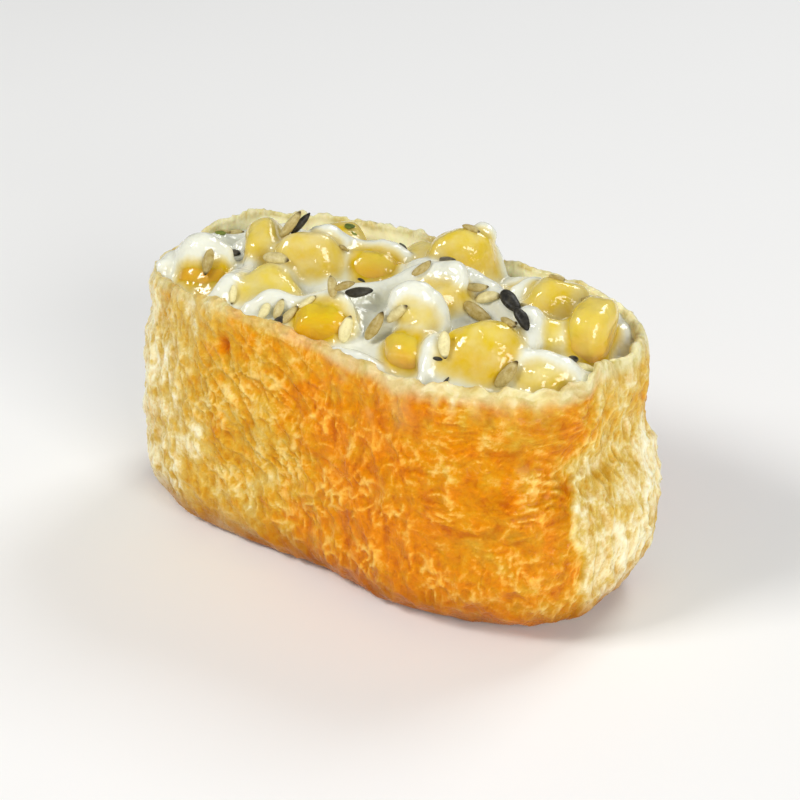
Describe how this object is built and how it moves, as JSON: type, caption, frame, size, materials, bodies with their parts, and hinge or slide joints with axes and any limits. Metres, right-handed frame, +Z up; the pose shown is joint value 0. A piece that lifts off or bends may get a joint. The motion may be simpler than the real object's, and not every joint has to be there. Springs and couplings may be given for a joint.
{
  "type": "inari sushi",
  "caption": "Soft open pouch of simmered fried tofu, heaped with sweetcorn in mayonnaise and sprinkled with sesame seeds.",
  "frame": {"origin": "on the surface it stands on, under the middle of its box", "axes": "+Z up out of the open mouth, +X along the pouch's long side towards the end with the pinched waist"},
  "size_m": [0.0678, 0.0346, 0.0371],
  "materials": {
    "tofu_skin": "wet, oily, finely wrinkled fried tofu, golden orange with cream ridges and a pale ragged lip",
    "mayonnaise": "glossy cream-white mayonnaise, thin enough over the corn to let its yellow through",
    "sweetcorn": "smooth wet yellow corn skin, deeper orange in shade",
    "white_sesame": "toasted and pale sesame seeds, satin, browner at the tip",
    "black_sesame": "grey-black sesame seeds, satin",
    "herb": "dried green herb flecks, matte"
  },
  "bodies": {
    "root": {"tofu_pouch": "tofu_skin", "corn_mayo_salad": "mayonnaise", "corn_kernel_01": "sweetcorn", "corn_kernel_02": "sweetcorn", "corn_kernel_03": "sweetcorn", "corn_kernel_04": "sweetcorn", "corn_kernel_05": "sweetcorn", "corn_kernel_06": "sweetcorn", "corn_kernel_07": "sweetcorn", "corn_kernel_08": "sweetcorn", "corn_kernel_09": "sweetcorn", "corn_kernel_10": "sweetcorn", "corn_kernel_11": "sweetcorn", "corn_kernel_12": "sweetcorn", "corn_kernel_13": "sweetcorn", "corn_kernel_14": "sweetcorn", "corn_kernel_15": "sweetcorn", "corn_kernel_16": "sweetcorn", "corn_kernel_17": "sweetcorn", "corn_kernel_18": "sweetcorn"}
  },
  "joints": []
}
